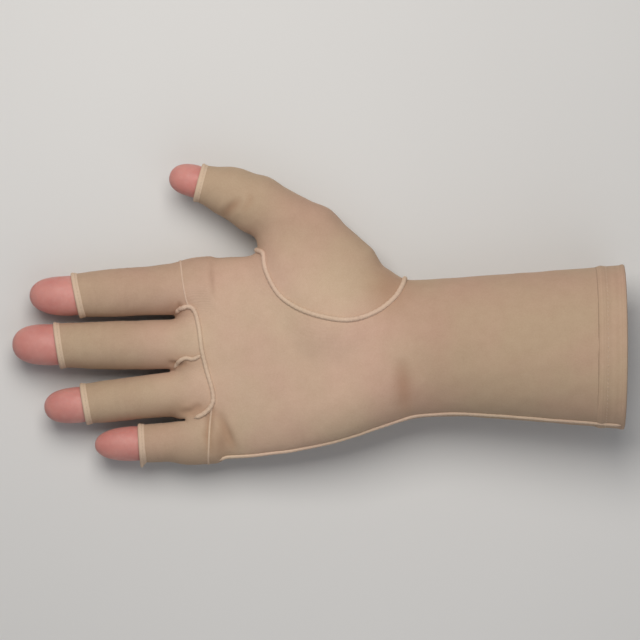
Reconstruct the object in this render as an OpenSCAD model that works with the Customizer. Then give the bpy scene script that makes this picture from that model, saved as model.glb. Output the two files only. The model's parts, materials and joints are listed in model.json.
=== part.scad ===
// Passive positionable prosthetic hand (right) in an open-finger fabric glove.
//
// The origin is the centre of the socket plate's outer face. The hand reaches out along -X,
// +Y is the thumb side and +Z the palm side, so the hand lies on its back.
// Each finger has a knuckle hinge and a middle hinge. The thumb swings about an axis along the
// web between palm and thumb, and bends at its tip joint. The hand turns on a friction wrist.

/* [Forearm] */
// Length from the socket plate's face to the wrist gap
forearm_len = 92; // [91:0.5:93]
// Half width of the glove at the cuff's open end
cuff_half_w = 37.5; // [36:0.5:39]
// Half height of the glove at the cuff's open end
cuff_half_h = 30; // [29.5:0.5:31]
// Width of the sewn hem at the cuff's open end
hem_w = 11; // [9:1:12]

/* [Socket plate] */
// Radius of the plate
plate_r = 24; // [23:0.5:24.5]
// Thickness of the plate
plate_t = 8; // [7:0.5:9]
// Radius of the central thread, at its crest circle
thread_r = 5.25; // [4:0.25:6]
// Pitch circle diameter of the four screw holes
plate_pcd = 34; // [32:1:36]
// Radius of each screw hole
plate_hole_r = 2.2; // [1.6:0.1:2.6]

/* [Wrist] */
// Height of the wrist's turning axis
wrist_z = -8; // [-8.5:0.5:-7.5]
// Radius of the turning drum
drum_r = 11; // [10:0.5:11.5]
// Outer radius of the wrist housing
housing_r = 17.5; // [17:0.5:18]

/* [Hinges] */
// Height of the finger hinges
hinge_z = -15; // [-15.5:0.5:-14.5]
// Radius of each knuckle pin
knuckle_pin_r = 1.55; // [1.4:0.05:1.7]
// Radius of each middle hinge's pin
finger_pin_r = 1.25; // [1:0.05:1.3]
// Largest bend of a knuckle, in degrees
knuckle_bend = 75; // [60:5:80]
// Largest bend of a middle hinge, in degrees
finger_bend = 70; // [50:5:75]
// Largest swing of the thumb towards the palm side, in degrees
thumb_swing = 50; // [30:5:55]

/* [Glove] */
// Thickness of the knitted fabric
fabric_t = 0.8; // [0.6:0.1:0.9]
// Distance from the glove's outside to what lies under the fabric
under_fabric = 2.4; // [2.2:0.1:2.6]

/* [Hidden] */
$fn = 48;
HULL_FN = 24;
run = 0.05;         // radial running clearance of a pin or drum
gap = 0.5;          // clearance between parts that move past each other
play = 0.3;         // clearance of a pocket around the part that sits in it
wide = 80;          // larger than any section of the hand
finger_drop = 3;    // how far a finger's middle line lies below its hinges
plate_half_t = 2;   // half the thickness of the palm frame's plate
plate_z = -18;      // middle of the palm frame's plate
ear_in = 3.6;       // inner and outer face of a knuckle ear, from the finger's middle
ear_out = 6.4;
ear_r = 4;          // radius of a knuckle barrel
fork_in = 2.6;      // inner and outer face of a middle hinge's fork
fork_out = 5.2;
fork_r = 3.5;
fork_root = 6.5;    // distance from a middle hinge back to the block that carries its fork
core_r = 2.8;       // radius of the rod inside a fingertip
core_part = 0.6;    // part of a fingertip's length that its rod reaches

// One row per digit: name, [x, y] of the hinge that carries it, heading in degrees, length from
// knuckle to middle hinge, length from middle hinge to tip, glove radius at the knuckle, at the
// middle hinge and at the finger hem, radius of the bare end at the hem, radius of its rounded
// tip, and distance from the middle hinge to the hem.
FINGERS = [
  ["index", [-206, 26.5], 183.5, 24, 42.5, 12.2, 11.3, 10, 9.2, 7.2, 21.5],
  ["middle", [-210, 1], 180, 26, 44.6, 11.6, 11.4, 10.4, 9.5, 8.4, 24],
  ["ring", [-209, -21.8], 186.7, 21, 37, 10.6, 9.9, 9.2, 8.3, 7.6, 18],
  ["little", [-203, -43.4], 182.9, 13, 26.5, 9.7, 9.3, 8.9, 8, 6.4, 6],
];
// The thumb's first row hinge is its tip joint, which bends both ways in the palm's plane.
THUMB = ["thumb", [-179, 71], 163.5, 0, 29.5, 0, 11.4, 8.3, 7.5, 6, 16.5];
thumb_tip_z = -14;          // height of the thumb's middle line
thumb_tip_bend = [10, 35];  // bend of the tip joint away from and towards the fingers

// The thumb's swing axis passes through this point, turned this much from +X.
thumb_root = [-131, 39.6, -9];
thumb_turn = -12;
thumb_barrel = [-19, 7];    // ends of its barrel, along the axis
barrel_r = 3.4;
lug_t = 3.6;
arm_w = 8;
arm_knee = [-13, 10];       // where the arm turns from the barrel towards the tip, in the axis's frame

function name(f) = f[0];
function hinge(f) = f[1];
function heading(f) = f[2];
function base_len(f) = f[3];
function tip_len(f) = f[4];
function r_knuckle(f) = f[5];
function r_middle(f) = f[6];
function r_hem(f) = f[7];
function r_bare(f) = f[8];
function r_end(f) = f[9];
function hem_at(f) = f[10];
function is_thumb(f) = name(f) == "thumb";

// A point of the palm's plane in the frame of the thumb's swing axis.
function in_thumb_frame(p) = let (v = p - [thumb_root[0], thumb_root[1]])
  [v[0] * cos(thumb_turn) + v[1] * sin(thumb_turn), v[1] * cos(thumb_turn) - v[0] * sin(thumb_turn)];

PLAIN = [
  "socket_plate", "plate_screws", "forearm_core", "wrist_housing", "friction_bush",
  "thrust_washer", "friction_screw", "glove_cuff_front", "glove_cuff_back", "glove_cuff_hem",
  "wrist_spindle", "retaining_ring", "palm_frame", "frame_screws", "knuckle_pins",
  "knuckle_washers", "thumb_pin", "palm_front", "palm_back", "glove_palm_panel",
  "glove_back_panel", "thumb_link", "thumb_tip_pin", "thumb_pad", "thumb_gusset",
];
BASE_PIECES = ["link", "pin", "sheath", "sleeve_base"];
TIP_PIECES = ["tip_core", "tip", "sleeve_end"];

// ---- places and building blocks ----

// A finger's own frame at its knuckle: +X to its tip, bending towards +Z.
module at_knuckle(f) translate([hinge(f)[0], hinge(f)[1], hinge_z]) rotate([0, 0, heading(f)]) children();

// The same at its middle hinge. The thumb bends towards the fingers.
module at_middle(f) {
  if (is_thumb(f)) translate([hinge(f)[0], hinge(f)[1], thumb_tip_z]) rotate([0, 0, heading(f)])
    rotate([-90, 0, 0]) children();
  else at_knuckle(f) translate([base_len(f), 0, 0]) children();
}

// From a hinge down to the middle line of the digit that it carries.
module on_middle_line(f) translate([0, 0, is_thumb(f) ? 0 : -finger_drop]) children();

// The wrist's axis as +Z, with the place along it given as x.
module on_wrist(x) translate([x, 0, wrist_z]) rotate([0, 90, 0]) children();

// The frame of the thumb's swing axis: +X along the axis to the wrist, +Y out to the thumb.
module at_thumb_axis() translate(thumb_root) rotate([0, 0, thumb_turn]) children();
module along_thumb_axis(x, len, r) translate([x, 0, 0]) rotate([0, 90, 0]) cylinder(h = len, r = r);

module ring(h, outer, inner) difference() {
  cylinder(h = h, r = outer);
  translate([0, 0, -1]) cylinder(h = h + 2, r = inner);
}

// A pin or barrel across a digit, centred on its hinge.
module across(r, half) rotate([90, 0, 0]) cylinder(h = 2 * half, r = r, center = true);

// A straight bar in the palm's plane, from point a to point b.
module bar(a, b, w, low, high) translate([a[0], a[1], low])
  rotate([0, 0, atan2(b[1] - a[1], b[0] - a[0])])
    translate([0, -w / 2, 0]) cube([norm(b - a), w, high - low]);

// What lies past a hinge: a square cut below the pin and a mitre above it, where the digit bends.
module past_hinge(bend) rotate([90, 0, 0]) linear_extrude(2 * wide, center = true) {
  lean = wide * tan(bend / 2 + 1);
  polygon([[-gap, -wide], [-gap, 0], [-gap - lean, wide], [wide, wide], [wide, -wide]]);
}
module before_hinge(bend) mirror([1, 0, 0]) past_hinge(bend);
module past_thumb_root() at_thumb_axis() rotate([0, 0, 90]) past_hinge(thumb_swing);
module before_thumb_root() at_thumb_axis() rotate([0, 0, 90]) before_hinge(thumb_swing);

// The thumb's tip joint bends both ways, so it is mitred on both sides.
module past_tip_joint() {
  past_hinge(thumb_tip_bend[1]);
  mirror([0, 0, 1]) past_hinge(thumb_tip_bend[0]);
}

// ---- outer shapes that the glove and the parts under it share ----

// A thin elliptical section that reaches from x a little way towards the forearm.
slice_t = 0.4;
module ellipse(half_h, half_w) polygon([for (a = [0:9:351]) [half_h * cos(a), half_w * sin(a)]]);
module ellipse_plate(x, z, half_h, half_w) translate([x, 0, z]) rotate([0, 90, 0])
  linear_extrude(slice_t) ellipse(half_h, half_w);

// Sections of the forearm at its open end, its middle and its neck, all resting on one plane.
middle_x = -48;
neck_x = -74;
module cuff_section(x, half_w, half_h, inset)
  ellipse_plate(x, half_h - cuff_half_h, half_h - inset, half_w - inset);
module open_section(x, inset) cuff_section(x, cuff_half_w, cuff_half_h, inset);
module middle_section(inset) cuff_section(middle_x, cuff_half_w - 3.9, cuff_half_h - 3, inset);
module neck_section(x, inset) cuff_section(x, cuff_half_w - 5.7, cuff_half_h - 5.5, inset);
module forearm_body(from_x, to_x, inset) {
  hull() {
    open_section(from_x, inset);
    middle_section(inset);
  }
  hull() {
    middle_section(inset);
    neck_section(to_x, inset);
  }
}

// The palm without the thumb: a rounded slab, the pad at the thumb's base, and a short round
// stub behind each knuckle.
palm_end = -101;
module ball(x, y, z, r, inset) translate([x, y, z]) sphere(r - inset, $fn = HULL_FN);
module palm_body(inset) {
  hull() {
    ellipse_plate(palm_end, -9.5, 20 - inset, 31.5 - inset);
    ball(-142, -34.5, -14, 12, inset);
    ball(-184, -41, -17, 10.5, inset);
    ball(-193, 29, -17.8, 11, inset);
    ball(-168, 31, -16.5, 11, inset);
  }
  hull() {
    ball(-152, 36, -15, 13, inset);
    ball(-118, 24, -13, 13, inset);
    ball(-130, 12, -10, 18, inset);
  }
  for (f = FINGERS) at_knuckle(f) on_middle_line(f)
    rotate([0, -90, 0]) cylinder(h = 17, r = r_knuckle(f) - inset);
}
module palm_limits() {
  for (f = FINGERS) at_knuckle(f) intersection() {
    past_hinge(knuckle_bend);
    translate([-wide, -r_knuckle(f) - 1.2, -wide]) cube([2 * wide, 2 * r_knuckle(f) + 2.4, 2 * wide]);
  }
  past_thumb_root();
}

// The thumb between its swing axis and its tip joint.
module thumb_body(inset) hull() {
  ball(-121.7, 39.2, -12, 9, inset);
  ball(-141.5, 52.3, -14.5, 12.4, inset);
  ball(-168, 65.5, -14, 13, inset);
  ball(-180, 70.8, thumb_tip_z, r_middle(THUMB), inset);
}
module thumb_limits() {
  before_thumb_root();
  at_middle(THUMB) past_tip_joint();
}

// A tapered round solid along a digit, or a tube of the given wall.
module taper(x0, x1, r0, r1, wall = 0) rotate([0, 90, 0]) rotate_extrude()
  polygon([[wall > 0 ? r0 - wall : 0, x0], [r0, x0], [r1, x1], [wall > 0 ? r1 - wall : 0, x1]]);

// ---- forearm ----

screw_r = 1.5;
module at_plate_screws() for (a = [0:90:270]) rotate([a, 0, 0]) translate([-plate_t / 2, 0, 20.5]) children();
module socket_plate() color("silver") difference() {
  translate([-plate_t, 0, 0]) rotate([0, 90, 0]) ring(plate_t, plate_r, thread_r);
  for (a = [45:90:315]) rotate([a, 0, 0]) translate([-plate_t - 1, 0, plate_pcd / 2])
    rotate([0, 90, 0]) cylinder(h = plate_t + 2, r = plate_hole_r);
  at_plate_screws() cylinder(h = 20, r = screw_r);
}
module plate_screws() color("dimgray") at_plate_screws() difference() {
  cylinder(h = 5.6, r = screw_r);
  translate([0, 0, 4.2]) cylinder(h = 3, r = 0.8, $fn = 6);
}

shell_front = -forearm_len + 2;
bolt_room = 5;        // depth behind the plate that its bolts may reach
// The core that fills the cuff is rigid foam with a laminate skin.
module forearm_core() color("antiquewhite") difference() {
  union() {
    forearm_body(-2, neck_x, under_fabric);
    hull() {
      neck_section(neck_x, under_fabric);
      on_wrist(shell_front) cylinder(h = 0.5, r = housing_r + 1.7, $fn = 40);
    }
  }
  translate([-plate_t, 0, 0]) rotate([0, 90, 0]) cylinder(h = 20, r = plate_r);
  translate([-plate_t - bolt_room, 0, 0]) rotate([0, 90, 0]) cylinder(h = 20, r = plate_r - 3);
  on_wrist(shell_front - 1) cylinder(h = housing_len + 7, r = housing_r);
  at_plate_screws() cylinder(h = 20, r = screw_r);
  friction_screw_hole(wide);
}

housing_len = 26;
bush_r = 14;
grub_r = 2.5;
module at_friction_screw() translate([shell_front + 14, 0, wrist_z + bush_r + 0.2]) children();
module friction_screw_hole(depth) at_friction_screw() cylinder(h = depth, r = grub_r);
module wrist_housing() color("gainsboro") difference() {
  on_wrist(shell_front) ring(housing_len, housing_r, bush_r);
  friction_screw_hole(housing_r);
}
module friction_bush() color("ivory") on_wrist(shell_front + 1) ring(housing_len - 2, bush_r, drum_r + run);
module friction_screw() color("dimgray") at_friction_screw() difference() {
  cylinder(h = 3, r = grub_r);
  translate([0, 0, 1.6]) cylinder(h = 3, r = 1.2, $fn = 6);
}
module thrust_washer() color("ivory") on_wrist(-forearm_len + 0.1) ring(1.8, housing_r - 1, drum_r + gap);

// The cuff's fabric is two panels, joined along its sides.
side_seam_z = -12;
module above(z) translate([-300, -wide, z]) cube([301, 2 * wide, wide]);
module below(z) translate([-300, -wide, z - wide]) cube([301, 2 * wide, wide]);
cuff_end = -forearm_len + 6;
module cuff_tube() difference() {
  forearm_body(-hem_w - slice_t, cuff_end, 0);
  forearm_body(-hem_w + 1, cuff_end - 1, fabric_t);
}
module glove_cuff_front() color("tan") intersection() {
  cuff_tube();
  above(side_seam_z);
}
module glove_cuff_back() color("tan") intersection() {
  cuff_tube();
  below(side_seam_z);
}

// The hem is folded double, so it is a little thicker than the cuff that it ends.
module glove_cuff_hem() color("tan")
  translate([-hem_w, 0, 0]) rotate([0, 90, 0]) linear_extrude(hem_w) difference() {
  ellipse(cuff_half_h, cuff_half_w);
  ellipse(cuff_half_h - 2 * fabric_t, cuff_half_w - 2 * fabric_t);
}

// ---- palm ----

flange_t = 4;
flange_x = -forearm_len - flange_t;
ring_x = shell_front + housing_len + 0.2;
ring_groove = 1.6;
module wrist_spindle() color("silver") difference() {
  union() {
    on_wrist(flange_x) cylinder(h = flange_t, r = housing_r - 0.5);
    on_wrist(flange_x) cylinder(h = ring_x + 4 - flange_x, r = drum_r);
  }
  on_wrist(ring_x) ring(ring_groove, drum_r + 1, drum_r - 1.5);
  frame_screw_holes();
}
module retaining_ring() color("dimgray") on_wrist(ring_x + 0.1) difference() {
  ring(ring_groove - 0.2, drum_r + 3, drum_r - 1.4);
  translate([0, -2.5, -1]) cube([wide, 5, 4]);
}

wall_t = 4;                       // wall that ties the palm frame's plate to the wrist spindle
wall_half_w = 14;
wall_half_h = 12;
wall_x = flange_x - wall_t;
frame_screw_r = 1.6;
module at_frame_screws() for (y = [-8, 8], z = [-4.5, 7])
  translate([wall_x, y, wrist_z + z]) rotate([0, 90, 0]) children();
module frame_screw_holes() at_frame_screws()
  translate([0, 0, -1]) cylinder(h = wall_t + flange_t, r = frame_screw_r);
module frame_screws() color("dimgray") at_frame_screws() {
  cylinder(h = wall_t + flange_t - 1, r = frame_screw_r);
  translate([0, 0, -2]) difference() {
    cylinder(h = 2, r = 2.8);
    translate([0, 0, -1]) cylinder(h = 2.2, r = 1.3, $fn = 6);
  }
}

PLATE_OUTLINE = [
  [wall_x, -14], [-130, -24], [-184, -49], [-192, -49], [-193, -36], [-199, -29],
  [-200, -6], [-200, 20], [-196, 34], [-160, 32], [wall_x, 14],
];

module ears(f) at_knuckle(f) for (s = [-1, 1]) translate([0, s * (ear_in + ear_out) / 2, 0]) {
  translate([-7.5, 0, -0.5]) cube([15, ear_out - ear_in, 2 * ear_r - 1], center = true);
  across(ear_r, (ear_out - ear_in) / 2);
}
// Each thumb lug rises from the plate to a barrel on the thumb's axis.
lug_low = plate_z - plate_half_t - thumb_root[2];
lug_len = 18;
LUG_OUTLINE = [
  [-lug_len, lug_low], [-lug_len / 2, lug_low], [1.5, -3], [-2.5, 2.3],
  [-lug_len, lug_low + 2 * plate_half_t],
];
barrel_len = thumb_barrel[1] - thumb_barrel[0];
lug_gap = 0.4;                    // clearance between a lug and the barrel's end
module thumb_lugs() at_thumb_axis() for (x = [thumb_barrel[0] - lug_t - lug_gap, thumb_barrel[1] + lug_gap]) {
  translate([x, 0, 0]) rotate([90, 0, 90]) linear_extrude(lug_t) polygon(LUG_OUTLINE);
  along_thumb_axis(x, lug_t, barrel_r);
}
module thumb_axis_room() at_thumb_axis()
  along_thumb_axis(thumb_barrel[0] - lug_t - 1, barrel_len + 2 * (lug_t + 1), barrel_r + 0.8);
module plate(grow) translate([0, 0, plate_z - plate_half_t - grow])
  linear_extrude(2 * (plate_half_t + grow)) offset(delta = grow) polygon(PLATE_OUTLINE);
module palm_frame() color("lightsteelblue") difference() {
  union() {
    translate([0, 0, plate_z - plate_half_t]) linear_extrude(2 * plate_half_t) polygon(PLATE_OUTLINE);
    translate([wall_x, -wall_half_w, wrist_z - wall_half_h])
      cube([wall_t, 2 * wall_half_w, 2 * wall_half_h]);
    for (f = FINGERS) ears(f);
    thumb_lugs();
  }
  for (f = FINGERS) at_knuckle(f) {
    across(knuckle_pin_r, ear_out + 1);
    translate([-7, -ear_in, -wide / 2]) cube([20, 2 * ear_in, wide]);
  }
  at_thumb_axis() along_thumb_axis(-wide / 2, wide, knuckle_pin_r);
  frame_screw_holes();
}
module knuckle_pins() color("silver") for (f = FINGERS) at_knuckle(f) across(knuckle_pin_r, ear_out);
tongue = 3;                       // half the width of the tongue that each knuckle's ears hold
washer_play = 0.02;
module knuckle_washers() color("ivory") for (f = FINGERS, s = [-1, 1]) at_knuckle(f)
  translate([0, s * (ear_in + tongue) / 2, 0]) difference() {
    across(ear_r - 0.3, (ear_in - tongue) / 2 - washer_play);
    across(knuckle_pin_r + run, ear_in);
  }
module thumb_pin() color("silver") at_thumb_axis()
  along_thumb_axis(thumb_barrel[0] - lug_t - lug_gap, barrel_len + 2 * (lug_t + lug_gap), knuckle_pin_r);

// What the two halves of the palm leave room for.
module palm_pockets() {
  plate(play);
  for (f = FINGERS) at_knuckle(f) {
    translate([-17, -ear_out - 0.4, -ear_r - 1.4]) cube([24, 2 * ear_out + 0.8, 2 * ear_r + 0.8]);
    translate([-8, -ear_out - 0.4, 0]) cube([24, 2 * ear_out + 0.8, wide]);
  }
  translate([wall_x - 3, -wall_half_w - 1, wrist_z - wall_half_h - 1])
    cube([wide, 2 * wall_half_w + 2, 2 * wall_half_h + 2]);
  thumb_axis_room();
  at_thumb_axis() for (x = [thumb_barrel[0] - lug_t - 1, thumb_barrel[1] - 0.2])
    translate([x, -lug_len - play, lug_low - play]) cube([lug_t + 1.2, lug_len + 2, 3 - lug_low]);
}
module palm_shape() difference() {
  palm_body(under_fabric);
  palm_limits();
  palm_pockets();
}
half_z = plate_z - plate_half_t;
module palm_front() color("lightpink") intersection() {
  palm_shape();
  above(half_z);
}
module palm_back() color("lightpink") intersection() {
  palm_shape();
  below(half_z);
}

module palm_fabric() difference() {
  palm_body(0);
  palm_body(fabric_t);
  palm_limits();
  thumb_axis_room();
  plate(play);
  translate([palm_end - 1, -wide, -wide]) cube([wide, 2 * wide, 2 * wide]);
}
module glove_palm_panel() color("tan") intersection() {
  palm_fabric();
  above(plate_z);
}
module glove_back_panel() color("tan") intersection() {
  palm_fabric();
  below(plate_z);
}

// ---- thumb ----

fork_block = hinge(THUMB) - fork_root * [cos(heading(THUMB)), sin(heading(THUMB))];
module arm(grow) {
  foot = [arm_knee[0], 0];
  bar(foot, arm_knee + [0, arm_w / 2], arm_w + 2 * grow, -4 - grow, 1 + grow);
  bar(arm_knee, in_thumb_frame(fork_block), arm_w + 2 * grow, -6 - grow, grow);
}
module thumb_link() color("lightsteelblue") difference() {
  union() {
    at_thumb_axis() {
      along_thumb_axis(thumb_barrel[0], barrel_len, barrel_r);
      arm(0);
    }
    at_middle(THUMB) fork();
  }
  at_thumb_axis() along_thumb_axis(-wide / 2, wide, knuckle_pin_r + run);
  at_middle(THUMB) across(finger_pin_r, fork_out + 1);
}
module thumb_pad() color("lightpink") difference() {
  thumb_body(under_fabric);
  thumb_limits();
  at_thumb_axis() arm(play);
  thumb_axis_room();
  at_middle(THUMB) translate([-10, -fork_out - play, -fork_r - 0.6])
    cube([20, 2 * fork_out + 2 * play, 2 * fork_r + 1.2]);
}
module thumb_gusset() color("tan") difference() {
  thumb_body(0);
  thumb_body(fabric_t);
  thumb_limits();
  thumb_axis_room();
}

// ---- fingers ----

module fork() {
  for (s = [-1, 1]) translate([0, s * (fork_in + fork_out) / 2, 0]) {
    translate([-4, 0, 0]) cube([8, fork_out - fork_in, 2 * fork_r], center = true);
    across(fork_r, (fork_out - fork_in) / 2);
  }
  translate([-fork_root, 0, 0]) cube([3.4, 2 * fork_out, 2 * fork_r], center = true);
}
module finger_link(f) color("lightsteelblue") difference() {
  union() {
    at_knuckle(f) across(ear_r, tongue);
    at_knuckle(f) translate([0, -tongue, -3]) cube([base_len(f) - fork_root, 2 * tongue, 6]);
    at_middle(f) fork();
  }
  at_knuckle(f) across(knuckle_pin_r + run, tongue + 1);
  at_middle(f) across(finger_pin_r, fork_out + 1);
}
module middle_pin(f) color("silver") at_middle(f) across(finger_pin_r, fork_out);

module finger_limits(f) {
  before_hinge(knuckle_bend);
  translate([base_len(f), 0, 0]) past_hinge(finger_bend);
}
module finger_sheath(f) color("lightpink") at_knuckle(f) difference() {
  on_middle_line(f) taper(0, base_len(f), r_knuckle(f) - under_fabric, r_middle(f) - under_fabric);
  finger_limits(f);
  translate([-1, -fork_out - 0.2, -fork_r - 0.2]) cube([base_len(f) + 2, 2 * fork_out + 0.4, wide]);
  across(ear_r + 0.5, ear_out + 0.4);
}
module sleeve_base(f) color("tan") at_knuckle(f) difference() {
  on_middle_line(f) taper(-1, base_len(f) + 1, r_knuckle(f), r_middle(f), fabric_t);
  finger_limits(f);
}

module tip_limits(f) {
  if (is_thumb(f)) mirror([1, 0, 0]) past_tip_joint();
  else before_hinge(finger_bend);
}
module core_body(f) {
  translate([0, -fork_in + 0.1, -2.4]) cube([7, 2 * fork_in - 0.2, 4.8]);
  translate([5, 0, 0]) rotate([0, 90, 0]) cylinder(h = core_part * tip_len(f) - 5, r = core_r);
}
module tip_core(f) color("lightsteelblue") at_middle(f) difference() {
  union() {
    across(fork_r, fork_in - 0.1);
    core_body(f);
  }
  across(finger_pin_r + run, fork_in + 1);
}

// The bare end is a taper up to the hem and a rounded tip past it.
module bare_end(f) rotate([0, 90, 0]) rotate_extrude() polygon(concat(
  [[0, 0], [r_middle(f) - under_fabric, 0], [r_bare(f), hem_at(f)]],
  [for (a = [0:15:90]) [r_end(f) * cos(a), tip_len(f) - r_end(f) * (1 - sin(a))]]
));
module tip(f) color("lightcoral") at_middle(f) difference() {
  on_middle_line(f) bare_end(f);
  tip_limits(f);
  across(fork_r + 0.6, fork_out + play);
  core_body(f);
}
module sleeve_end(f) color("tan") at_middle(f) difference() {
  on_middle_line(f) taper(-1, hem_at(f), r_middle(f), r_hem(f), fabric_t);
  tip_limits(f);
}

// ---- which node to draw ----

socket_plate();
plate_screws();
forearm_core();
wrist_housing();
friction_bush();
thrust_washer();
friction_screw();
glove_cuff_front();
glove_cuff_back();
glove_cuff_hem();
wrist_spindle();
retaining_ring();
palm_frame();
frame_screws();
knuckle_pins();
knuckle_washers();
thumb_pin();
palm_front();
palm_back();
glove_palm_panel();
glove_back_panel();
thumb_link();
middle_pin(THUMB);  // thumb_tip_pin
thumb_pad();
thumb_gusset();
for (f = FINGERS) {
  finger_link(f);
  middle_pin(f);
  finger_sheath(f);
  sleeve_base(f);
}
for (f = concat(FINGERS, [THUMB])) {
  tip_core(f);
  tip(f);
  sleeve_end(f);
}
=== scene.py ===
"""The looks of a passive prosthetic hand in an open-finger knitted glove.

Places and sizes are in millimetres here, in the CAD's frame: the hand reaches along -X, +Y is the
thumb side and +Z the palm side. They are scaled to metres when a mesh is made.
"""

import json
import math
from collections import namedtuple

import bpy
import numpy as np
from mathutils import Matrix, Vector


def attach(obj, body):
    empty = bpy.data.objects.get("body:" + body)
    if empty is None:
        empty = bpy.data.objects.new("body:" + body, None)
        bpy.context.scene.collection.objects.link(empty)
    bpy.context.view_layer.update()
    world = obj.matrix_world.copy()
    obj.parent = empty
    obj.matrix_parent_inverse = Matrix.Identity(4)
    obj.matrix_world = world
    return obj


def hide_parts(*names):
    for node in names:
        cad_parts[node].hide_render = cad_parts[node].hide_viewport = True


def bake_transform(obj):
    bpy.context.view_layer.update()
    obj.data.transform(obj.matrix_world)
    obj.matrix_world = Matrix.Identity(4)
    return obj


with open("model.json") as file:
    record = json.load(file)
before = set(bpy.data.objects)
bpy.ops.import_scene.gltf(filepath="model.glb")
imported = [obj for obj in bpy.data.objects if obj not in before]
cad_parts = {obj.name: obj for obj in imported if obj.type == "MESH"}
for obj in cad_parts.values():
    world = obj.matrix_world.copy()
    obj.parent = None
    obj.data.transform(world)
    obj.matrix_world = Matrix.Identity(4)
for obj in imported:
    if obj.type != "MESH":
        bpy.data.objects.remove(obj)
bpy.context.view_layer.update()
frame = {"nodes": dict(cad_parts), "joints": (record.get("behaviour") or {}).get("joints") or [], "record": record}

import openvdb

MM = 0.001
JOINTS = {joint["name"]: joint for joint in frame["joints"]}

VOXEL = 0.85                  # grid spacing of the glove's surface
FABRIC = 0.8                  # thickness of the knitted fabric
HEM_WIDTH = 11.0              # width of the cuff's sewn hem
HEM_OVERLAP = 0.6             # how far the panels run in under it
PALM_Z = -18.0                # middle lines of the fingers


# ---- digits ----

Digit = namedtuple("Digit", "name root along side z base r_knuckle r_middle r_hem r_bare hem_at")

# Per digit: glove radius at the knuckle, at the middle hinge and at the hem, radius of the bare end
# at the hem, and distance from the middle hinge to the hem.
DIGIT_SIZES = {
    "index": (12.2, 11.3, 10.0, 9.2, 21.5),
    "middle": (11.6, 11.4, 10.4, 9.5, 24.0),
    "ring": (10.6, 9.9, 9.2, 8.3, 18.0),
    "little": (9.7, 9.3, 8.9, 8.0, 6.0),
    "thumb": (0.0, 11.4, 8.3, 7.5, 16.5),
}
FINGERS = ["index", "middle", "ring", "little"]
THUMB_Z = -14.0               # middle line of the thumb
THUMB_HEADING = 163.5         # degrees from +X that the thumb's tip points
THUMB_ROOT_HEADING = 151      # and that its root points


def place(joint):
    """A joint's position in millimetres."""
    return np.array(JOINTS[joint]["pos_m"]) / MM


def heading(degrees):
    """The direction at an angle from +X in the palm's plane."""
    angle = math.radians(degrees)
    return np.array([math.cos(angle), math.sin(angle)])


def square_to(along):
    """The direction in the palm's plane a quarter turn from another."""
    return np.array([-along[1], along[0]])


def make_digit(name):
    """Reads a digit's hinges from the frame."""
    if name == "thumb":
        root = place("thumb_tip_bend")
        along = heading(THUMB_HEADING)
        base = 0.0
        z = THUMB_Z
    else:
        root = place(name + "_knuckle")
        along = square_to(JOINTS[name + "_knuckle"]["axis"])
        base = float(np.linalg.norm(place(name + "_middle") - root))
        z = PALM_Z
    return Digit(name, root[:2], along, square_to(along), z, base, *DIGIT_SIZES[name])


DIGITS = {name: make_digit(name) for name in FINGERS + ["thumb"]}


def in_digit(digit, p):
    """Coordinates of points along a digit, across it and above its middle line."""
    flat = p[:, :2] - digit.root
    return flat @ digit.along, flat @ digit.side, p[:, 2] - digit.z


def from_digit(digit, u, v, w):
    """The points at the given digit coordinates."""
    u, v, w = np.broadcast_arrays(u, v, w)
    flat = digit.root + u[..., None] * digit.along + v[..., None] * digit.side
    return np.concatenate([flat, digit.z + w[..., None]], axis=-1)


def middle_point(digit, u):
    """The point on a digit's middle line at a distance along it."""
    return from_digit(digit, np.array([u]), 0.0, 0.0)[0]


# ---- curves and blends ----

def profile(points, blur):
    """A smooth curve through (x, value) pairs, as a function of x."""
    xs, ys = np.array(sorted(points)).T
    step = 0.5
    grid = np.arange(xs[0] - 30, xs[-1] + 30, step)
    reach = int(3 * blur / step)
    offsets = np.arange(-reach, reach + 1) * step
    weights = np.exp(-0.5 * (offsets / blur) ** 2)
    line = np.pad(np.interp(grid, xs, ys), reach, mode="edge")
    smooth = np.convolve(line, weights / weights.sum(), mode="valid")
    return lambda x: np.interp(x, grid, smooth)


def ramp(x, start, end):
    """Smooth step from 0 at start to 1 at end."""
    t = np.clip((x - start) / (end - start), 0, 1)
    return t * t * (3 - 2 * t)


def join(a, b, k):
    """Union of two distance fields, blended over k millimetres."""
    h = np.maximum(k - np.abs(a - b), 0) / k
    return np.minimum(a, b) - h * h * k / 4


def cut_back(a, b, k):
    """Intersection of two distance fields, rounded over k millimetres."""
    return -join(-a, -b, k)


def bump_at(p, centre, spread):
    """A soft bump of height 1 in the palm's plane."""
    d = (p[:, :2] - np.array(centre)) / np.array(spread)
    return np.exp(-0.5 * (d * d).sum(axis=1))


def line_distance(p, points):
    """Distance in the palm's plane from each point to a polyline, and the share along it."""
    best = np.full(len(p), 1e9)
    where = np.zeros(len(p))
    pairs = list(zip(points[:-1], points[1:]))
    for i, (a, b) in enumerate(pairs):
        a, b = np.array(a, float), np.array(b, float)
        t = np.clip(((p[:, :2] - a) @ (b - a)) / ((b - a) @ (b - a)), 0, 1)
        d = np.linalg.norm(p[:, :2] - a - t[:, None] * (b - a), axis=1)
        nearer = d < best
        best = np.where(nearer, d, best)
        where = np.where(nearer, (i + t) / len(pairs), where)
    return best, where


# ---- the glove's outer surface as a distance field ----

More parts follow.
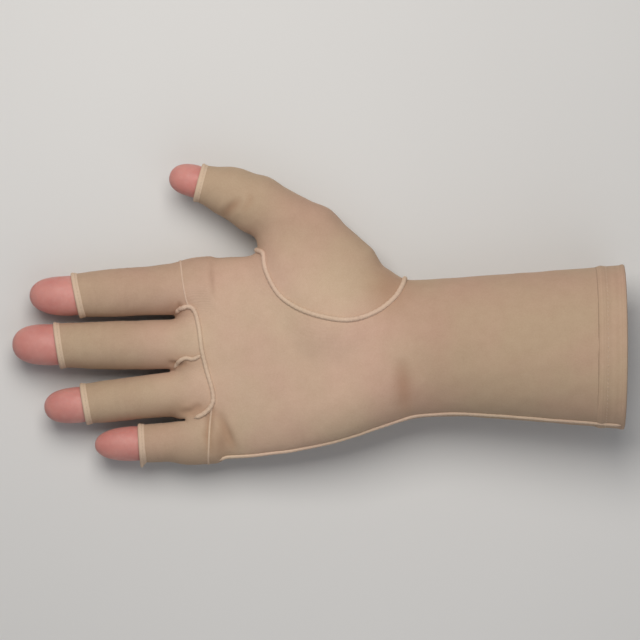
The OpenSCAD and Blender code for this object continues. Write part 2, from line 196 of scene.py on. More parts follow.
RADIAL = profile([(0, 37.5), (-48, 33.8), (-75, 31.9), (-94, 30.6), (-107, 30.8), (-120, 33), (-132, 36),
                  (-150, 40), (-171, 41.8), (-190, 40.8), (-206, 39)], 5)
ULNAR = profile([(0, -37.4), (-48, -33.4), (-75, -31.6), (-94, -32.2), (-107, -35.9), (-120, -40),
                 (-132, -43.7), (-150, -48.1), (-171, -51), (-190, -52), (-206, -53.9)], 4)
TOP = profile([(0, 30), (-48, 24), (-75, 18.6), (-94, 14), (-107, 12), (-120, 10), (-132, 8),
               (-150, 3), (-171, -2.5), (-190, -5.5), (-206, -7)], 6)
BOTTOM = profile([(0, -30), (-75, -30), (-94, -29.8), (-120, -29.6), (-150, -29.4), (-206, -29)], 6)
PALM_END = -203.0

THENAR = [((-152, 36, -15), 13), ((-118, 24, -13), 13), ((-130, 12, -10), 18)]
THUMB_BALLS = [((-121.7, 39.2, -12), 9), ((-141.5, 52.3, -14.5), 12.4), ((-168, 65.5, -14), 13),
               ((-180, 70.8, -14), 11.4)]
THUMB_BASE = [((-151, 43.5, -14), 12.6), ((-129, 33, -12), 13.2)]
WEB_BALLS = [((-158, 51, -14), 8.7), ((-155, 45, -14), 8)]

# The gaps between the fingers: where each one ends at the web, and a point that it runs to.
GAPS = [((-206.5, 14.0), (-250, 12.0)), ((-208.3, -10.8), (-247, -13.5)), ((-200.6, -33.4), (-224, -35.2))]
GAP_HALF = 0.55               # half a gap's width


def section(x):
    """The section at x: its middle and half width across the hand, its middle and half height."""
    radial, ulnar, top, bottom = RADIAL(x), ULNAR(x), TOP(x), BOTTOM(x)
    return (radial + ulnar) / 2, (radial - ulnar) / 2, (top + bottom) / 2, (top - bottom) / 2


def body_field(p):
    """The forearm and the palm: superelliptical sections along X."""
    x = p[:, 0]
    middle_y, half_w, middle_z, half_h = section(x)
    across = np.abs(p[:, 1] - middle_y) / half_w
    up = (p[:, 2] - middle_z) / half_h
    square = ramp(x, -94, -135)
    n = 2 + square * np.where(up > 0, 0.5, 0.9)
    up = np.abs(up)
    rho = (across ** n + up ** n + 1e-9) ** (1 / n)
    slope = np.hypot((across / rho) ** (n - 1) / half_w, (up / rho) ** (n - 1) / half_h)
    return cut_back((rho - 1) / slope, PALM_END - x, 9)


def finger_radius(digit):
    """The glove's radius along a finger, with the slight swelling of the middle joint."""
    full = digit.base + digit.hem_at
    return profile([(-20, digit.r_knuckle), (0, digit.r_knuckle), (0.55 * digit.base, digit.r_middle - 0.1),
                    (digit.base, digit.r_middle), (digit.base + 0.3 * digit.hem_at, digit.r_middle - 0.25),
                    (full, digit.r_hem), (full + 8, digit.r_hem - 0.3)], 2.5)


RADII = {name: finger_radius(DIGITS[name]) for name in FINGERS}
SLEEVE_PAST = 5.0             # how far the sleeve's surface runs on past its hem before it is cut


def finger_field(digit, p):
    """One finger: a tube whose radius follows its joints."""
    u, v, w = in_digit(digit, p)
    tube = np.hypot(v, w) - RADII[digit.name](u)
    ends = np.maximum(u - digit.base - digit.hem_at - SLEEVE_PAST, -16 - u)
    return cut_back(tube, ends, 2)


def cone_field(p, a, b, ra, rb):
    """A round cone between two balls."""
    a, b = np.array(a, float), np.array(b, float)
    t = np.clip(((p - a) @ (b - a)) / ((b - a) @ (b - a)), 0, 1)
    return np.linalg.norm(p - a - t[:, None] * (b - a), axis=1) - ra - (rb - ra) * t


def chain_field(p, balls, k, closed=False):
    """Round cones from ball to ball, joined over k millimetres."""
    ends = balls[1:] + (balls[:1] if closed else [])
    parts = [cone_field(p, a, b, ra, rb) for (a, ra), (b, rb) in zip(balls, ends)]
    field = parts[0]
    for part in parts[1:]:
        field = join(field, part, k)
    return field


def thumb_field(p):
    """The thumb's root and its sleeve."""
    thumb = DIGITS["thumb"]
    end = thumb.hem_at + SLEEVE_PAST
    r_end = thumb.r_middle + (thumb.r_hem - thumb.r_middle) * end / thumb.hem_at
    sleeve = cone_field(p, middle_point(thumb, -1.0), middle_point(thumb, end), thumb.r_middle, r_end)
    u = in_digit(thumb, p)[0]
    sleeve = cut_back(sleeve, u - end, 1)
    return join(chain_field(p, THUMB_BALLS, 3), sleeve, 2.5)


def gap_field(p):
    """Inside the narrow gaps between neighbouring fingers."""
    field = np.full(len(p), 1e3)
    for start, end in GAPS:
        start, end = np.array(start), np.array(end)
        along = (end - start) / np.linalg.norm(end - start)
        flat = p[:, :2] - start
        off = np.abs(flat @ square_to(along)) - GAP_HALF
        field = np.minimum(field, np.maximum(off, -(flat @ along)))
    return field


def hand_field(p):
    """Distance from the glove's outer surface, before its folds and creases; negative inside."""
    field = body_field(p)
    fingers = [finger_field(DIGITS[name], p) for name in FINGERS]
    digits = fingers[0]
    for other in fingers[1:]:
        digits = join(digits, other, 1.5)
    parts = [(digits, 6), (chain_field(p, THENAR, 8, closed=True), 9), (thumb_field(p), 5),
             (chain_field(p, WEB_BALLS, 2), 6), (chain_field(p, THUMB_BASE, 2), 7)]
    for part, blend in parts:
        field = join(field, part, blend)
    return cut_back(field, -gap_field(p), 1.2)


# ---- folds, creases and swellings of the fabric, and painted shade ----

# Creases on the palm side, each with painted shade in its hollow: points of the line, depth and half width.
CREASES = [
    ([(-187, -27), (-189.5, -33), (-190.5, -41), (-189, -50)], 0.9, 2.4),
    ([(-185.5, -29), (-182, -38), (-177, -48.5)], 0.7, 2.6),
    ([(-102, -4), (-101, -18), (-99.5, -33)], 0.85, 5.0),
    ([(-184.5, 58), (-180, 63.5), (-174.5, 68.5)], 0.9, 2.8),
    ([(-175, 61), (-171.5, 66), (-170, 71)], 0.5, 2.6),
    ([(-207, 13.5), (-204, 16.5), (-203, 21)], 0.8, 1.6),
    ([(-209, -7), (-204, -8.3), (-199.5, -7.5)], 0.8, 1.7),
    ([(-203, -30.5), (-198, -29.8), (-193, -26)], 0.8, 2.0),
]
# Painted shade where the fabric is drawn into the webs, and on the ball of the thumb by the gusset seam: centre
# and spread.
PAINTED_SHADE_SPOTS = [((-204, 18), (4, 2.6)), ((-203, -6.6), (6, 2.8)), ((-199, -29), (9, 3.2)), ((-184, -43), (4, 6)),
         ((-108, 27), (7, 8))]
# Soft swellings on the palm side: centre, spread and height.
PADS = [
    ((-149, 3), (18, 13), 0.8),
    ((-136, -29), (22, 11), 1.2),
    ((-190, 27), (6, 7), 0.7),
    ((-190, 4), (6, 7), 0.6),
    ((-190, -20), (6, 6), 0.6),
    ((-192, -43), (6, 6), 0.4),
    ((-134, 22), (19, 14), 0.5),
]
# Places of the faint bands round each finger, in digit coordinates along it, from its middle hinge.
BANDS = (-5.5, -1.2, 3.1, 12.5, 15.8)
BAND_DEPTH, BAND_WIDTH = 0.2, 0.9
RIPPLE = 0.10                 # height of the fabric's general unevenness
LIPS = 0.35                   # height of a crease's swollen edges against its depth
SHADE_SPOT_STRENGTH = 0.9                    # strength of the painted shade spots
SHADED_SIDE = 0.45            # strength of the painted shade down each finger's lower side
KNUCKLE_HEIGHT = 0.9          # how far the knuckles stand out on the back


def ripple(p):
    """Slight unevenness of stretched fabric, as a few crossed waves."""
    waves = [((0.31, 0.12, 0.2), 0.5), ((-0.11, 0.36, 0.15), 2.1), ((0.19, -0.27, 0.3), 4.0),
             ((0.52, 0.33, -0.2), 1.3), ((-0.45, 0.58, 0.1), 5.2)]
    total = np.zeros(len(p))
    for direction, phase in waves:
        total += np.sin(p @ np.array(direction) + phase) / (1 + 4 * np.linalg.norm(direction))
    return total


def relief(p, n):
    """How far the fabric stands out from the smooth surface, and the painted shade of its creases, webs and
    fingers' lower sides.
    """
    front = ramp(n[:, 2], -0.1, 0.5)
    back = ramp(-n[:, 2], 0.0, 0.6)
    out = RIPPLE * ripple(p)
    for centre, spread, height in PADS:
        out += height * bump_at(p, centre, spread) * front
    crease = np.zeros(len(p))
    for points, depth, width in CREASES:
        d, share = line_distance(p, points)
        ends = 4 * share * (1 - share)
        cut = np.exp(-0.5 * (d / (0.5 * width)) ** 2)
        lips = np.exp(-0.5 * ((d - 1.3 * width) / (0.5 * width)) ** 2)
        out += (LIPS * lips - cut) * depth * ends * front
        # painted shade in the crease's hollow
        crease += cut * ends * front * min(1.0, depth)
    # painted shade spots in the webs and on the ball of the thumb
    for centre, spread in PAINTED_SHADE_SPOTS:
        crease += SHADE_SPOT_STRENGTH * bump_at(p, centre, spread) * front
    for name in FINGERS:
        digit = DIGITS[name]
        u, v, w = in_digit(digit, p)
        on = (np.hypot(v, w) < digit.r_knuckle + 3) & (u > 2)
        for i, band in enumerate(BANDS):
            if band > digit.hem_at - 4:
                continue
            bent = u - digit.base - band - 0.5 * np.sin(0.35 * v + i)
            out -= on * BAND_DEPTH * np.exp(-0.5 * (bent / BAND_WIDTH) ** 2) * (0.35 + 0.65 * front)
        # painted shade down each finger's lower side, except the little finger's
        if name != "little":
            shaded_lower_side = ramp(v, 0.5 * digit.r_hem, digit.r_knuckle) * ramp(w, -6, 3)
            crease += SHADED_SIDE * shaded_lower_side * ramp(u, -6, 8) * (np.abs(v) < digit.r_knuckle + 1) * (w < 14)
        knuckle = bump_at(p, digit.root + 3 * digit.along, (6, 5))
        out += KNUCKLE_HEIGHT * knuckle * back
    return out, np.clip(crease, 0, 1)


# ---- meshing the surface ----

GRID_LOW = np.array([-268.0, -60.0, -34.0])
GRID_HIGH = np.array([6.0, 90.0, 34.0])
COARSE = 3                    # fine grid steps in one coarse step
NEAR = 3.2                    # the field is worked out exactly this close to the surface


def spread_axis(a, axis, count):
    """Values between the samples of one axis of a grid."""
    position = np.arange(count) / COARSE
    low = np.minimum(position.astype(int), a.shape[axis] - 2)
    share = position - low
    shape = [1, 1, 1]
    shape[axis] = count
    share = share.reshape(shape).astype(np.float32)
    return np.take(a, low, axis) * (1 - share) + np.take(a, low + 1, axis) * share


def sample_field():
    """The field on a grid: coarse everywhere, and exact near the surface."""
    cells = np.ceil((GRID_HIGH - GRID_LOW) / (VOXEL * COARSE)).astype(int)
    axes = [GRID_LOW[i] + VOXEL * COARSE * np.arange(cells[i] + 1) for i in range(3)]
    grid = np.stack(np.meshgrid(*axes, indexing="ij"), axis=-1).reshape(-1, 3)
    field = hand_field(grid).reshape(cells + 1).astype(np.float32)
    for axis in range(3):
        field = spread_axis(field, axis, cells[axis] * COARSE + 1)
    near = np.argwhere(np.abs(field) < NEAR)
    field[tuple(near.T)] = hand_field(GRID_LOW + VOXEL * near)
    return field


def gradient(p, step=0.05):
    """Direction in which the field grows."""
    parts = []
    for axis in range(3):
        move = np.zeros(3)
        move[axis] = step
        parts.append((hand_field(p + move) - hand_field(p - move)) / (2 * step))
    return np.stack(parts, axis=1)


def unit(v):
    """Vectors made one unit long."""
    return v / np.maximum(np.linalg.norm(v, axis=-1, keepdims=True), 1e-9)


def onto_surface(p, rounds=2):
    """Moves points along the field's gradient onto the surface."""
    for _ in range(rounds):
        g = gradient(p)
        p = p - (hand_field(p) / np.maximum((g * g).sum(axis=1), 0.2))[:, None] * g
    return p


def smooth_along(p, quads, rounds):
    """Evens out the spacing of the points without moving them off the surface much."""
    edges = np.concatenate([quads[:, [i, (i + 1) % 4]] for i in range(4)])
    edges = np.unique(np.sort(edges, axis=1), axis=0)
    count = np.bincount(edges.ravel(), minlength=len(p))[:, None]
    for _ in range(rounds):
        total = np.zeros_like(p)
        np.add.at(total, edges[:, 0], p[edges[:, 1]])
        np.add.at(total, edges[:, 1], p[edges[:, 0]])
        p = p + 0.5 * (total / count - p)
    return p


def point_normals(p, triangles):
    """Normals of a triangle mesh at its points, weighted by area."""
    a, b, c = (p[triangles[:, i]] for i in range(3))
    facing = np.cross(b - a, c - a)
    total = np.zeros_like(p)
    for i in range(3):
        np.add.at(total, triangles[:, i], facing)
    return unit(total)


def glove_surface():
    """Points, triangles, normals and painted shade of the whole glove's outer surface."""
    grid = openvdb.FloatGrid()
    grid.copyFromArray(sample_field())
    p, quads = grid.convertToQuads(isovalue=0.0)
    p = np.array(p, float) * VOXEL + GRID_LOW
    quads = np.array(quads, int)
    p = onto_surface(smooth_along(p, quads, 2), 1)
    p = onto_surface(smooth_along(p, quads, 3), 2)
    triangles = np.concatenate([quads[:, [0, 1, 2]], quads[:, [0, 2, 3]]])
    n = point_normals(p, triangles)
    if ((n * gradient(p)).sum(axis=1) < 0).mean() > 0.5:
        triangles = triangles[:, ::-1]
        n = -n
    out, crease = relief(p, n)
    p = p + out[:, None] * n
    return p, triangles, point_normals(p, triangles), crease


# ---- cutting the surface into panels ----

Surface = namedtuple("Surface", "p t n crease")
SNAP = 0.12                   # a point this close to a cut counts as on it


def split(s, field):
    """Cuts a surface where a field at its points is 0. Returns the parts where it is above and below."""
    f = np.where(np.abs(field) < SNAP, 0.0, field)
    sign = np.sign(f)[s.t]
    above, below = (sign > 0).any(axis=1), (sign < 0).any(axis=1)
    p, n, crease = list(s.p), list(s.n), list(s.crease)
    made = {}

    def between(a, b):
        key = (min(a, b), max(a, b))
        if key not in made:
            share = f[key[0]] / (f[key[0]] - f[key[1]])
            made[key] = len(p)
            p.append(p[key[0]] * (1 - share) + p[key[1]] * share)
            n.append(unit(n[key[0]] * (1 - share) + n[key[1]] * share))
            crease.append(crease[key[0]] * (1 - share) + crease[key[1]] * share)
        return made[key]

    parts = {1: list(s.t[above & ~below]), -1: list(s.t[~above])}
    for corners in s.t[above & below].tolist():
        outlines = {1: [], -1: []}
        for a, b in zip(corners, corners[1:] + corners[:1]):
            for way, outline in outlines.items():
                if f[a] * way >= 0:
                    outline.append(a)
            if f[a] * f[b] < 0:
                middle = between(a, b)
                outlines[1].append(middle)
                outlines[-1].append(middle)
        for way, outline in outlines.items():
            for i in range(1, len(outline) - 1):
                parts[way].append([outline[0], outline[i], outline[i + 1]])
    arrays = (np.array(n), np.array(crease))
    return [Surface(np.array(p), np.array(parts[way], int).reshape(-1, 3), *arrays) for way in (1, -1)]


def compact(s):
    """The surface without unused points."""
    used, t = np.unique(s.t, return_inverse=True)
    return Surface(s.p[used], t.reshape(-1, 3), s.n[used], s.crease[used])


def curve_through(points, steps=12):
    """Points of a smooth curve through the given ones."""
    p = np.array(points, float)
    p = np.vstack([2 * p[0] - p[1], p, 2 * p[-1] - p[-2]])
    out = []
    for a, b, c, d in zip(p[:-3], p[1:-2], p[2:-1], p[3:]):
        t = np.linspace(0, 1, steps, endpoint=False)[:, None]
        out.append(0.5 * (2 * b + (c - a) * t + (2 * a - 5 * b + 4 * c - d) * t ** 2
                          + (3 * b - a - 3 * c + d) * t ** 3))
    return np.vstack(out + [p[-2:-1]])


GUSSET_LINE = curve_through([(-164.8, 43.4), (-163.6, 35), (-157, 23.5), (-144, 15.8), (-127, 12.4),
                             (-114, 15.8), (-105, 22.4), (-100.5, 29.4)])
GUSSET_OUTSIDE = [(-96, 36), (-96, 110), (-235, 110), (-235, 56), (-184, 50.5), (-171, 46.6)]
# The stretch that the knuckle line and the piped seam share, from the index's side to the little's.
WEB_LINE = [(-199.2, 18.6), (-196.2, 16.2), (-194.2, 8), (-193.0, -1.5), (-190.4, -12), (-188.0, -21),
            (-188.4, -26.2)]
KNUCKLE_LINE = curve_through([(-204, 46), (-203, 39), (-201.3, 27)] + WEB_LINE
                             + [(-189.5, -36), (-190, -47), (-190.5, -60)])
KNUCKLE_SIDES = (-53.5, 38.6)  # where the knuckle seam turns round the hand's two edges
# The piped seam over the webs: from the first web round to the last, and its branch to the middle one.
WEB_SEAM = [(-205.4, 15.0), (-203.4, 17.2)] + WEB_LINE + [(-191.8, -30.2), (-196.5, -32.6)]
WEB_BRANCH = [(-205.8, -9.6), (-203.4, -6.4), (-200.4, -5.0), (-197.0, -5.4), (-193.0, -3.4)]


def inside_outline(p, outline):
    """Distance inside a closed outline in the palm's plane, negative outside."""
    outline = np.array(outline, float)
    d = line_distance(p, list(outline) + [outline[0]])[0]
    x, y = p[:, 0], p[:, 1]
    inside = np.zeros(len(p), bool)
    for a, b in zip(outline, np.roll(outline, -1, axis=0)):
        crosses = (a[1] > y) != (b[1] > y)
        at = a[0] + (y - a[1]) * (b[0] - a[0]) / (b[1] - a[1] + 1e-12)
        inside ^= crosses & (x < at)
    return np.where(inside, d, -d)


def knuckle_x(y):
    """Where the knuckle line crosses, for each place across the hand."""
    line = KNUCKLE_LINE[np.argsort(KNUCKLE_LINE[:, 1])]
    return np.interp(y, line[:, 1], line[:, 0])


# Where each finger's fabric bends, along the finger: the knuckle zone from the first number to the
# second, and the middle joint's from the second to the third.
BEND_ZONES = {"index": (-3, 16, 33), "middle": (-5, 16, 36), "ring": (-4, 12, 30),
              "little": (-4.5, 6.5, 18.5)}
THUMB_ZONE = (-9, 9)          # the same for the thumb's tip joint
WRIST_ZONE = (-100, -60)      # where the glove turns with the wrist, along X
# How far each hem slants across its digit.
HEM_SLANT = {"index": -0.143, "middle": -0.152, "ring": -0.053, "little": -0.013, "thumb": -0.034}
SEAM_SLANT = 0.33             # the side seams' height against the section's half height


def past_hem(digit, p):
    """Positive beyond a digit's hem."""
    u, v, _ = in_digit(digit, p)
    return u - digit.base - digit.hem_at - HEM_SLANT[digit.name] * v


def side_seam_field(p):
    """Positive on the palm side of the side seams."""
    middle_y, half_w, middle_z, half_h = section(p[:, 0])
    across = (p[:, 1] - middle_y) / half_w
    return p[:, 2] - middle_z + SEAM_SLANT * across * half_h


def beyond_gap(p, gap):
    """Positive on the thumb's side of the line through a gap."""
    start, end = np.array(gap[0]), np.array(gap[1])
    along = unit(end - start)
    return (p[:, :2] - start) @ -square_to(along)


def cut_panels():
    """The glove's panels as surfaces."""
    whole = Surface(*glove_surface())
    whole = split(whole, -(whole.p[:, 0] + HEM_WIDTH - HEM_OVERLAP))[0]
    outline = list(GUSSET_LINE) + GUSSET_OUTSIDE
    thumb_part, hand = split(whole, inside_outline(whole.p, outline))
    thumb = DIGITS["thumb"]
    panels = {}
    along_thumb = in_digit(thumb, thumb_part.p)[0]
    sleeve, panels["thumb_gusset_panel"] = split(thumb_part, along_thumb - THUMB_ZONE[0])
    panels["thumb_sleeve"] = split(sleeve, past_hem(thumb, sleeve.p))[1]
    palm, fingers = split(hand, hand.p[:, 0] - knuckle_x(hand.p[:, 1]))
    panels["palm_panel"], panels["back_panel"] = split(palm, side_seam_field(palm.p))
    for name, gap in zip(FINGERS, GAPS + [None]):
        if gap is None:
            part = fingers
        else:
            part, fingers = split(fingers, beyond_gap(fingers.p, gap))
        digit = DIGITS[name]
        upper, lower = split(part, in_digit(digit, part.p)[0] - BEND_ZONES[name][1])
        panels[name + "_sleeve_lower"] = lower
        panels[name + "_sleeve_upper"] = split(upper, past_hem(digit, upper.p))[1]
    return {name: compact(s) for name, s in panels.items()}


# ---- making meshes ----

def new_object(name, points, faces, material, smooth=True):
    """A mesh object from points in millimetres."""
    mesh = bpy.data.meshes.new(name)
    mesh.from_pydata((np.asarray(points) * MM).tolist(), [], [list(map(int, f)) for f in faces])
    mesh.polygons.foreach_set("use_smooth", [smooth] * len(mesh.polygons))
    mesh.materials.append(material)
    obj = bpy.data.objects.new(name, mesh)
    bpy.context.scene.collection.objects.link(obj)
    return obj


def section_lengths():
    """Distance round the section from its palm-side middle, for a grid of places and angles."""
    xs = np.arange(-215.0, 8.0, 2.0)
    angles = np.linspace(-math.pi, math.pi, 181)
    half_w, half_h = section(xs[:, None])[1::2]
    speed = np.hypot(half_w * np.cos(angles), half_h * np.sin(angles))
    lengths = np.cumsum(speed, axis=1) * (angles[1] - angles[0])
    middle = len(angles) // 2
    return xs, angles, lengths - lengths[:, middle:middle + 1]


SECTION_LENGTHS = section_lengths()


def body_knit(p, facing):
    """Knit coordinates of the palm and cuff: along the forearm, and round the section."""
    x = p[:, 0]
    middle_y, half_w, middle_z, half_h = section(x)
    angle = np.arctan2((p[:, 1] - middle_y) / half_w, (p[:, 2] - middle_z) / half_h * facing)
    xs, angles, lengths = SECTION_LENGTHS
    i = np.clip((x - xs[0]) / (xs[1] - xs[0]), 0, len(xs) - 2)
    j = np.clip((angle - angles[0]) / (angles[1] - angles[0]), 0, len(angles) - 2)
    i0, j0 = i.astype(int), j.astype(int)
    a, b = i - i0, j - j0
    round_it = ((lengths[i0, j0] * (1 - b) + lengths[i0, j0 + 1] * b) * (1 - a)
                + (lengths[i0 + 1, j0] * (1 - b) + lengths[i0 + 1, j0 + 1] * b) * a)
    return -x, round_it, None


def digit_knit(digit, p):
    """Knit coordinates of a finger: along it, and round it as an angle times a radius."""
    u, v, w = in_digit(digit, p)
    radius = np.full(len(p), 10.0) if digit.name == "thumb" else RADII[digit.name](u)
    return u + 200, np.arctan2(v, w), radius


def thumb_knit(p):
    """Knit coordinates of the thumb, turning with its middle line at the tip joint."""
    thumb = DIGITS["thumb"]
    u1, v1, w = in_digit(thumb, p)
    along = heading(THUMB_ROOT_HEADING)
    flat = p[:, :2] - thumb.root
    u0, v0 = flat @ along, flat @ square_to(along)
    share = ramp(u1, -14, 2)
    u, v = u0 + share * (u1 - u0), v0 + share * (v1 - v0)
    return u + 200, np.arctan2(v, w), 0.55 * np.hypot(v, w) + 4.5


def store_uv(mesh, uv):
    """Writes the knit coordinates, one pair for each corner of each face."""
    mesh.uv_layers.new(name="knit").data.foreach_set("uv", uv.astype(np.float32).ravel())


def store_knit(mesh, knit, loops):
    """Writes knit coordinates as a UV map in millimetres, without a jump inside any face."""
    along, angle, radius = knit
    flat = loops.ravel()
    if radius is None:
        around = angle[flat]
    else:
        turn = angle[loops]
        wraps = (turn.max(axis=1) - turn.min(axis=1)) > math.pi
        turn = turn + 2 * math.pi * (wraps[:, None] & (turn < 0))
        around = turn.ravel() * radius[flat]
    store_uv(mesh, np.stack([along[flat], around], axis=1))


def store_values(obj, name, values):
    """One number for each point of a mesh, for its material to read."""
    attribute = obj.data.attributes.new(name, "FLOAT", "POINT")
    attribute.data.foreach_set("value", values.astype(np.float32))


def painted_falloff_shade(p):
    """Painted shade: none in the palm's middle, growing towards the fingers, the thumb and the cuff."""
    off = np.hypot((p[:, 0] + 158) / 62, (p[:, 1] + 3) / 52)
    return ramp(off, 0.5, 1.25)


def fabric_object(name, s, knit, material):
    """A panel as a closed piece of fabric: outside, inside and the cut edge between them."""
    count = len(s.p)
    pairs = np.concatenate([s.t[:, [i, (i + 1) % 3]] for i in range(3)])
    keys = {(a, b) for a, b in pairs.tolist()}
    rim = np.array([(a, b) for a, b in pairs.tolist() if (b, a) not in keys])
    edge_a = np.stack([rim[:, 1], rim[:, 0], rim[:, 0] + count], axis=1)
    edge_b = np.stack([rim[:, 1], rim[:, 0] + count, rim[:, 1] + count], axis=1)
    t = np.concatenate([s.t, s.t[:, ::-1] + count, edge_a, edge_b])
    p = np.concatenate([s.p, s.p - FABRIC * s.n])
    obj = new_object(name, p, t, material)
    flat = unit(np.cross(p[t[:, 1]] - p[t[:, 0]], p[t[:, 2]] - p[t[:, 0]]))
    n = np.concatenate([s.n, -s.n])[t]
    n[2 * len(s.t):] = flat[2 * len(s.t):, None]
    obj.data.normals_split_custom_set(n.reshape(-1, 3).tolist())
    doubled = [None if part is None else np.concatenate([part, part]) for part in knit]
    store_knit(obj.data, doubled, t)
    store_values(obj, "crease", np.concatenate([s.crease, s.crease]))
    store_values(obj, "falloff_shade", painted_falloff_shade(p))
    return obj


def loft(rings, closed_along=False, caps=False):
    """Faces between rings of points. rings has the shape (rings, points, 3)."""
    m, n = rings.shape[:2]
    faces = []
    for i in range(m if closed_along else m - 1):
        for j in range(n):
            a, b = i * n + j, i * n + (j + 1) % n
            c, d = ((i + 1) % m) * n + (j + 1) % n, ((i + 1) % m) * n + j
            faces.append((a, b, c, d))
    if caps:
        faces.append(tuple(range(n))[::-1])
        faces.append(tuple((m - 1) * n + j for j in range(n)))
    return rings.reshape(-1, 3), faces


def round_angles(count):
    """Angles evenly spaced round a circle."""
    return np.linspace(0, 2 * math.pi, count, endpoint=False)


def lengths_along(path):
    """Distance along a path to each of its points."""
    return np.concatenate([[0], np.cumsum(np.linalg.norm(np.diff(path, axis=0), axis=1))])


def surface_distance(origin, direction, low, high):
    """Distance along each ray to where it first leaves the glove, between low and high."""
    steps = np.linspace(low, high, 40)
    outside = np.array([hand_field(origin + step * direction) >= 0 for step in steps])
    outside[-1] = True
    first = np.argmax(outside, axis=0)
    low, high = steps[np.maximum(first - 1, 0)], steps[first]
    for _ in range(14):
        middle = (low + high) / 2
        inside = hand_field(origin + middle[:, None] * direction) < 0
        low = np.where(inside, middle, low)
        high = np.where(inside, high, middle)
    return (low + high) / 2


# ---- hems, seams and stitches ----

# The hems' outlines: distance past the hem's line, and height over the glove.
HEM_PROFILE = [(-2.7, 0.02), (-2.45, 0.24), (-2.0, 0.32), (-1.55, 0.22), (-1.15, 0.42), (-0.6, 0.6),
               (-0.1, 0.5), (0.25, 0.16), (0.3, -0.3), (0.05, -0.7)]
HEM_LIP = {"little": 1.7}     # how far a hem stands out at the side seam


def hem_ring(digit, steps=88):
    """A folded hem round a digit's open end, one ring per step round it, and the distances along it."""
    angles = round_angles(steps)
    v, w = np.sin(angles), np.cos(angles)
    clear = digit.r_hem - digit.r_bare - 0.02
    outline = HEM_PROFILE + [(-0.5, -clear), (-3.2, -clear), (-3.5, -0.5)]
    radius = np.full(steps, digit.r_hem)
    for _ in range(3):
        u = digit.base + digit.hem_at + HEM_SLANT[digit.name] * radius * v
        origin = from_digit(digit, u - 1.5, 0.0, 0.0)
        direction = from_digit(digit, 0.0, v, w) - from_digit(digit, 0.0, 0.0 * v, 0.0)
        radius = surface_distance(origin, direction, 4, 20)
    lip = HEM_LIP.get(digit.name, 0.0) * np.exp(-0.5 * ((angles - 0.5 * math.pi) / 0.23) ** 2)
    rings = []
    for a, r in outline:
        reach = radius + r + lip * ramp(a, -2.7, -0.4)
        rings.append(from_digit(digit, u + a, reach * v, reach * w))
    return np.stack(rings, axis=1), u


CUFF_PROFILE = [(-13.2, 0.02), (-12.4, 0.3), (-11.4, 0.55), (-10.4, 0.56), (-9.5, 0.34), (-8.7, 0.12),
                (-6, 0.1), (-3.4, 0.12), (-2.2, 0.2), (-1.5, 0.48), (-0.7, 0.52), (-0.12, 0.2), (0, -0.3),
                (-0.1, -0.9), (-0.7, -1.3), (-5.5, -1.35), (-10.8, -1.3), (-11.6, -0.8)]


def section_ray(x, angles):
    """From the middle of the section at each x, the rays at the given angles."""
    middle_y, half_w, middle_z, half_h = section(x)
    direction = np.stack([0 * x, np.cos(angles) * half_w, np.sin(angles) * half_h], axis=-1)
    return np.stack([x, middle_y, middle_z], axis=-1), unit(direction)


def cuff_ring(steps=220):
    """The wide sewn hem at the cuff's end, one ring per step round the cuff."""
    angles = round_angles(steps)
    rings = []
    for x, r in CUFF_PROFILE:
        origin, direction = section_ray(np.full(steps, min(x, -0.01)), angles)
        reach = surface_distance(origin, direction, 10, 60)
        rings.append(origin + (reach + r)[:, None] * direction)
    return np.stack(rings, axis=1)


def relaxed(points, closed, rounds=3):
    """A path with its corners eased."""
    for _ in range(rounds):
        if closed:
            near = (np.roll(points, 1, axis=0) + np.roll(points, -1, axis=0)) / 2
            points = (points + near) / 2
        else:
            near = (points[:-2] + points[2:]) / 2
            points = np.vstack([points[:1], (points[1:-1] + near) / 2, points[-1:]])
    return points


def evenly(points, step, closed=False):
    """The path again, with points a fixed step apart."""
    line = np.vstack([points, points[:1]]) if closed else points
    lengths = lengths_along(line)
    count = max(4, int(round(lengths[-1] / step)))
    at = np.linspace(0, lengths[-1], count + (0 if closed else 1), endpoint=not closed)
    return np.stack([np.interp(at, lengths, line[:, i]) for i in range(3)], axis=1)


def settle(points):
    """Moves a path onto the glove, folds and creases included. Returns it with the normals there."""
    points = onto_surface(points, 4)
    n = unit(gradient(points))
    return points + relief(points, n)[0][:, None] * n, n


def ridge(name, path, n, radius, height, material, closed=False, ribs=0.0, pitch=2.3, sides=12):
    """A raised seam along a path on the glove: half sunk, and ribbed like overlocked edges."""
    if closed:
        ahead = np.roll(path, -1, axis=0) - np.roll(path, 1, axis=0)
    else:
        ahead = np.gradient(path, axis=0)
    ahead = unit(ahead)
    aside = unit(np.cross(n, ahead))
    up = np.cross(ahead, aside)
    s = lengths_along(path)
    size = 1 + ribs * np.sin(2 * math.pi * s / pitch)
    if not closed:
        size = size * (0.25 + 0.75 * np.minimum(ramp(s, 0, 2.0), ramp(s[-1] - s, 0, 2.0)))
    rings = []
    for angle in round_angles(sides):
        out = math.cos(angle) * radius
        lift = math.sin(angle) * height if math.sin(angle) > 0 else 0.5 * math.sin(angle) * height
        rings.append(path + (size * out)[:, None] * aside + (size * lift)[:, None] * up)
    points, faces = loft(np.stack(rings, axis=1), closed_along=closed, caps=not closed)
    obj = new_object(name, points, faces, material)
    knit_on_strip(obj, len(path), sides, s, radius)
    return obj


